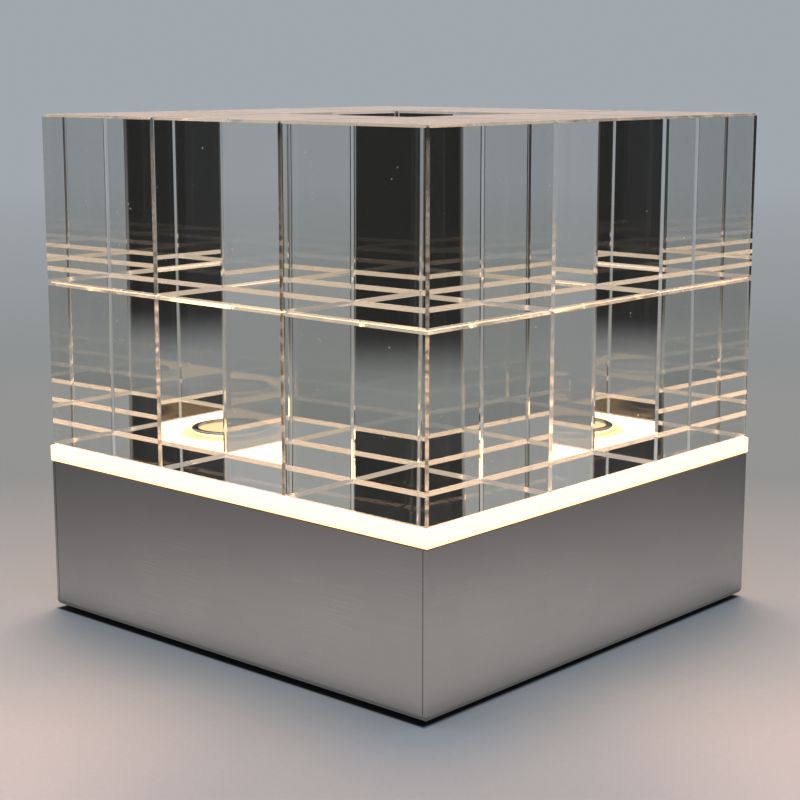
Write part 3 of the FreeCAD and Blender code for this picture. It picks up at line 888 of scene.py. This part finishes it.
# ------------------------------------------------------------------ floor, light and camera
@dataclass(frozen=True)
class PhotoCamera:
    """The photograph's camera, fitted to the corners of the base and the cubes."""

    place: tuple[float, float, float] = (0.34811, -0.38895, 0.16229)
    heading_deg: float = 131.931
    pitch_deg: float = 10.711
    lens_mm: float = 78.891

    def forward(self) -> Vector:
        """The direction that it looks in.

        Returns:
            A unit vector.
        """
        heading, pitch = math.radians(self.heading_deg), math.radians(self.pitch_deg)
        return Vector((math.cos(heading) * math.cos(pitch), math.sin(heading) * math.cos(pitch),
                       -math.sin(pitch)))

    def build(self) -> None:
        """Makes the camera and gives it to the scene."""
        data = bpy.data.cameras.new("photo_camera")
        data.sensor_width, data.lens = 36.0, self.lens_mm
        data.clip_start, data.clip_end = 0.01, 100.0
        camera = bpy.data.objects.new("photo_camera", data)
        camera.location = self.place
        camera.rotation_euler = self.forward().to_track_quat("-Z", "Y").to_euler()
        bpy.context.scene.collection.objects.link(camera)
        bpy.context.scene.camera = camera


@dataclass(frozen=True)
class PaintedDarkSide:
    """A dark side painted upright beside the light as shade, seen only in metal and crystal.

    Its foot is a distance from the light, and its top is the sine of an elevation.
    """

    heading_deg: float
    half_width_deg: float = 20.0
    fade_deg: float = 13.0
    foot: tuple[float, float] = (0.42, 0.64)
    top: tuple[float, float] = (0.38, 0.44)
    tone: Colour = (0.022, 0.022, 0.022)


@dataclass
class Studio:
    """A pale floor, a grey backdrop, painted dark sides on the other three sides, and a soft lamp.

    The floor's colour holds a painted pool of light, paler front corners and a painted contact shadow. The
    dark sides, the backdrop's tones with their painted warm band, and the painted reflection tones of the
    floor are seen only in metal and through the crystal.
    """

    camera: PhotoCamera
    floor_reach: float = 40.0
    lit_reach: tuple[float, float] = (0.22, 0.28)
    # Painted light: the floor's colour is paler in front and darker behind, a painted pool of light.
    depth_range: tuple[float, float] = (-0.2, 0.4)
    painted_light_depth_tones: tuple[tuple[float, Colour], ...] = (
        (-0.20, (0.48, 0.51, 0.53)), (-0.08, (0.62, 0.65, 0.66)), (0.05, (0.42, 0.46, 0.48)),
        (0.17, (0.27, 0.33, 0.35)))
    # Painted light: a paler, warmer tone on the floor at the front corners.
    painted_light_across: tuple[float, float] = (0.035, 0.10)
    painted_light_depth: tuple[float, float] = (-0.06, -0.12)
    painted_light_tone: Colour = (0.76, 0.73, 0.73)
    # Painted shadow: a dark contact shadow round the base.
    contact_front: tuple[float, float] = (0.0749, 0.0762)
    contact_rest: tuple[float, float] = (0.0736, 0.0756)
    # Painted reflection: the floor tones that the polished sheet mirrors turn darker towards both sides.
    edge_fade: tuple[float, float] = (0.08, 0.22)
    edge_share: float = 0.48
    painted_shadow_tone: Colour = (0.012, 0.013, 0.015)
    fibre_cells: float = 700.0
    fibre_share: float = 0.03
    plain_reach: tuple[float, float] = (0.25, 0.60)
    haze_range: tuple[float, float] = (0.3, 2.0)
    haze_tones: tuple[tuple[float, Colour], ...] = (
        (0.30, (0.25, 0.26, 0.26)), (0.80, (0.30, 0.32, 0.33)), (2.00, (0.355, 0.392, 0.427)))
    backdrop: Colour = (0.355, 0.392, 0.427)
    ambient: Colour = (0.46, 0.52, 0.60)
    key_colour: Colour = (1.0, 0.61, 0.40)
    key_power: float = 14.0
    key_place: tuple[float, float, float] = (-0.52, 0.56, 1.2)
    key_size: float = 1.0
    light_bounces: int = 48
    diffuse_bounces: int = 4
    # Painted reflection: tones that the polished sheet mirrors in place of the lit floor.
    painted_reflection_range: tuple[float, float] = (0.05, 0.8)
    painted_reflection_tones: tuple[tuple[float, Colour], ...] = (
        (0.076, (0.16, 0.155, 0.155)), (0.088, (0.50, 0.47, 0.46)), (0.145, (0.60, 0.545, 0.53)),
        (0.285, (0.24, 0.24, 0.245)), (0.600, (0.0, 0.0, 0.0)))
    # Painted reflection: backdrop tones seen only in metal and crystal, with a warm glow at the backdrop's
    # foot.
    backdrop_range: tuple[float, float] = (0.0, 0.6)
    backdrop_tones: tuple[tuple[float, Colour], ...] = (
        (0.04, (0.62, 0.52, 0.47)), (0.09, (0.355, 0.37, 0.38)), (0.40, (0.50, 0.50, 0.49)),
        (0.50, (0.57, 0.46, 0.36)))
    # Painted shade: dark sides seen only in metal and through the crystal.
    painted_dark_sides: tuple[PaintedDarkSide, ...] = (PaintedDarkSide(45.0), PaintedDarkSide(225.0), PaintedDarkSide(315.0))

    def photo_axes(self, graph: Graph, place: bpy.types.NodeSocket) -> bpy.types.Node:
        """A place's distances across and along the photograph's line of sight.

        Args:
            graph: the graph to build in.
            place: the coordinates.

        Returns:
            The node with the distance across as its first output and the depth as its second.
        """
        turn = math.radians(90.0 - self.camera.heading_deg)
        moved = graph.add("ShaderNodeMapping", {"Vector": place, "Rotation": (0.0, 0.0, turn)})
        return graph.add("ShaderNodeSeparateXYZ", {0: moved.outputs[0]})

    def window(self, graph: Graph, place: bpy.types.NodeSocket, heading_deg: float, half_width_deg: float,
               fade_deg: float) -> bpy.types.NodeSocket:
        """How far a direction falls in a window round a heading.

        Args:
            graph: the graph to build in.
            place: the direction.
            heading_deg: the window's middle.
            half_width_deg: how far it reaches to each side.
            fade_deg: how wide its edges fade.

        Returns:
            1 inside and 0 outside.
        """
        heading = math.radians(heading_deg)
        level = graph.add("ShaderNodeVectorMath", {0: place, 1: (1.0, 1.0, 0.0)}, operation="MULTIPLY")
        unit = graph.add("ShaderNodeVectorMath", {0: level.outputs[0]}, operation="NORMALIZE")
        across = graph.add("ShaderNodeVectorMath", {0: unit.outputs[0],
                                                    1: (-math.sin(heading), math.cos(heading), 0.0)},
                           operation="DOT_PRODUCT").outputs["Value"]
        ahead = graph.add("ShaderNodeVectorMath", {0: unit.outputs[0],
                                                   1: (math.cos(heading), math.sin(heading), 0.0)},
                          operation="DOT_PRODUCT").outputs["Value"]
        outer, inner = (math.sin(math.radians(edge)) for edge in (half_width_deg + fade_deg, half_width_deg))
        inside = graph.ramp(graph.maths("ABSOLUTE", across), outer, inner)
        return graph.maths("MULTIPLY", inside, graph.maths("GREATER_THAN", ahead, 0.0))

    def seen_floor(self, graph: Graph, place: bpy.types.NodeSocket, reach: bpy.types.NodeSocket
                   ) -> bpy.types.NodeSocket:
        """The far floor as the crystal shows it: the plain one, with painted shade on each dark side.

        Args:
            graph: the graph to build in.
            place: the coordinates.
            reach: their distance from the light.

        Returns:
            The tone.
        """
        tone = graph.tones(reach, *self.haze_range, self.haze_tones)
        for dark_side in self.painted_dark_sides:
            share = self.window(graph, place, dark_side.heading_deg, dark_side.half_width_deg, dark_side.fade_deg)
            share = graph.maths("MULTIPLY", share, graph.ramp(reach, *dark_side.foot))
            tone = graph.blend(share, tone, dark_side.tone)
        return tone

    def painted_reflection_tone(self, graph: Graph, place: bpy.types.NodeSocket, across: bpy.types.NodeSocket
                   ) -> bpy.types.NodeSocket:
        """Painted reflection: the floor as the polished sheet shows it, by the distance from the base's
        sides, darker towards both sides.

        Args:
            graph: the graph to build in.
            place: the coordinates.
            across: the distance across the line of sight.

        Returns:
            The tone.
        """
        parts = graph.add("ShaderNodeSeparateXYZ", {0: place})
        square = graph.maths("MAXIMUM", graph.maths("ABSOLUTE", parts.outputs[0]),
                             graph.maths("ABSOLUTE", parts.outputs[1]))
        faded = graph.ramp(graph.maths("ABSOLUTE", across), *self.edge_fade, 0.0, self.edge_share)
        return graph.blend(faded, graph.tones(square, *self.painted_reflection_range, self.painted_reflection_tones), (0.0, 0.0, 0.0))

    def contact(self, graph: Graph, place: bpy.types.NodeSocket) -> bpy.types.NodeSocket:
        """The painted contact shadow round the base, which stands a millimetre off it.

        Args:
            graph: the graph to build in.
            place: the coordinates.

        Returns:
            0 under the base and right beside it, and 1 outside.
        """
        parts = graph.add("ShaderNodeSeparateXYZ", {0: place})
        front = graph.ramp(graph.maths("MULTIPLY", parts.outputs[1], -1.0), *self.contact_front)
        rest = graph.ramp(graph.maths("MAXIMUM", graph.maths("ABSOLUTE", parts.outputs[0]), parts.outputs[1]),
                          *self.contact_rest)
        return graph.maths("MAXIMUM", front, rest)

    def floor_material(self) -> bpy.types.Material:
        """The floor's material: pale and lit near the light, with painted light and a painted contact shadow
        in its colour, and a plain tone far from it.

        Returns:
            The material.
        """
        made = bpy.data.materials.new("pale_floor")
        made.use_nodes = True
        graph = Graph(made.node_tree)
        place = object_space(graph)
        reach = graph.add("ShaderNodeVectorMath", {0: place}, operation="LENGTH").outputs["Value"]
        axes = self.photo_axes(graph, place)
        # Painted light: the colour by depth is a painted pool of light.
        paper_and_painted_light = graph.tones(axes.outputs[1], *self.depth_range, self.painted_light_depth_tones)
        # Painted light: the front corners of the floor are paler and warmer.
        aside = graph.ramp(graph.maths("ABSOLUTE", axes.outputs[0]), *self.painted_light_across)
        painted_light_share = graph.maths("MULTIPLY", aside, graph.ramp(axes.outputs[1], *self.painted_light_depth))
        paper_and_painted_light = graph.blend(painted_light_share, paper_and_painted_light, self.painted_light_tone)
        # Painted shadow: a dark contact shadow under and right beside the base.
        paper_and_painted_light = graph.blend(self.contact(graph, place), self.painted_shadow_tone, paper_and_painted_light)
        fibre = graph.ramp(graph.noise(place, self.fibre_cells, 3.0), 0.3, 0.7)
        worn = graph.blend(self.fibre_share, paper_and_painted_light, (0.0, 0.0, 0.0))
        lit = graph.add("ShaderNodeBsdfPrincipled", {"Base Color": graph.blend(fibre, paper_and_painted_light, worn),
                                                     "Roughness": 0.8, "Specular IOR Level": 0.1})
        beyond = graph.add("ShaderNodeEmission", {"Color": self.seen_floor(graph, place, reach)})
        haze = graph.tones(reach, *self.haze_range, self.haze_tones)
        far = graph.add("ShaderNodeEmission", {"Color": haze})
        # Painted reflection: metal mirrors these painted tones in place of the lit floor.
        dim = graph.add("ShaderNodeEmission", {"Color": self.painted_reflection_tone(graph, place, axes.outputs[0])})
        path = graph.add("ShaderNodeLightPath")
        through = path.outputs["Is Transmission Ray"]
        direct = graph.maths("MULTIPLY", path.outputs["Is Camera Ray"], graph.ramp(reach, *self.plain_reach))
        mirrored = graph.maths("SUBTRACT", path.outputs["Is Glossy Ray"], through)
        whole = lit
        for share, seen in (
                (direct, far),
                (graph.maths("MULTIPLY", through, graph.ramp(reach, *self.lit_reach)), beyond),
                (graph.maths("MAXIMUM", mirrored, 0.0), dim)):
            whole = graph.add("ShaderNodeMixShader", {0: share, 1: whole.outputs[0], 2: seen.outputs[0]})
        graph.add("ShaderNodeOutputMaterial", {"Surface": whole.outputs[0]})
        return made

    def floor(self) -> None:
        """Makes the floor."""
        shape = bmesh.new()
        bmesh.ops.create_grid(shape, x_segments=1, y_segments=1, size=self.floor_reach)
        mesh = bpy.data.meshes.new("floor")
        shape.to_mesh(mesh)
        shape.free()
        mesh.materials.append(self.floor_material())
        floor = bpy.data.objects.new("floor", mesh)
        bpy.context.scene.collection.objects.link(floor)

    def world(self) -> None:
        """Makes the surroundings: a plain backdrop, with painted dark sides and a painted warm band seen in
        metal and crystal alone.
        """
        world = bpy.data.worlds.new("studio")
        bpy.context.scene.world = world
        world.use_nodes = True
        graph = Graph(world.node_tree)
        way = graph.add("ShaderNodeTexCoord").outputs["Generated"]
        height = graph.add("ShaderNodeSeparateXYZ", {0: way}).outputs[2]
        tone = graph.tones(height, *self.backdrop_range, self.backdrop_tones)
        for dark_side in self.painted_dark_sides:
            share = self.window(graph, way, dark_side.heading_deg, dark_side.half_width_deg, dark_side.fade_deg)
            share = graph.maths("MULTIPLY", share, graph.ramp(height, *reversed(dark_side.top)))
            tone = graph.blend(share, tone, dark_side.tone)
        path = graph.add("ShaderNodeLightPath")
        given = graph.blend(path.outputs["Is Camera Ray"], self.ambient, self.backdrop)
        seen = graph.maths("MAXIMUM", path.outputs["Is Glossy Ray"], path.outputs["Is Transmission Ray"])
        # Metal and crystal see the painted tones; the camera sees the plain backdrop, and other rays the
        # ambient light.
        light = graph.add("ShaderNodeBackground", {"Color": graph.blend(seen, given, tone), "Strength": 1.0})
        graph.add("ShaderNodeOutputWorld", {"Surface": light.outputs[0]})

    def lamp(self, name: str, place: Vector, aim: Vector, size: float, power: float,
             colour: Colour = (1.0, 1.0, 1.0)) -> None:
        """Makes a square soft lamp.

        Args:
            name: its name.
            place: where it stands.
            aim: the point that it faces.
            size: its side.
            power: watts.
            colour: its colour.
        """
        data = bpy.data.lights.new(name, "AREA")
        data.shape, data.size, data.energy, data.color = "SQUARE", size, power, colour
        lamp = bpy.data.objects.new(name, data)
        lamp.location = place
        lamp.visible_transmission = False
        lamp.rotation_euler = (aim - place).to_track_quat("-Z", "Y").to_euler()
        bpy.context.scene.collection.objects.link(lamp)

    def build(self) -> None:
        """Makes the floor, the surroundings and the lamp, and sets how light is traced."""
        self.floor()
        self.world()
        self.lamp("overhead_softbox", Vector(self.key_place), Vector((0.0, 0.0, 0.0)), self.key_size,
                  self.key_power, self.key_colour)
        scene = bpy.context.scene
        scene.view_settings.view_transform = "Standard"
        scene.cycles.max_bounces = self.light_bounces
        scene.cycles.transmission_bounces = self.light_bounces
        scene.cycles.glossy_bounces = self.light_bounces
        scene.cycles.diffuse_bounces = self.diffuse_bounces


def main() -> None:
    """Builds the light piece by piece, then its surroundings."""
    logging.basicConfig(level=logging.INFO, format="%(name)s %(message)s")
    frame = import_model()
    nodes = frame["nodes"]
    bench = Bench()
    FoldedBase(bench).build(nodes)
    InnerGear(bench).build(nodes)
    LitDeck(bench).build(nodes)
    CrystalStack(bench).build()
    camera = PhotoCamera()
    camera.build()
    Studio(camera).build()


if __name__ == "__main__":
    main()
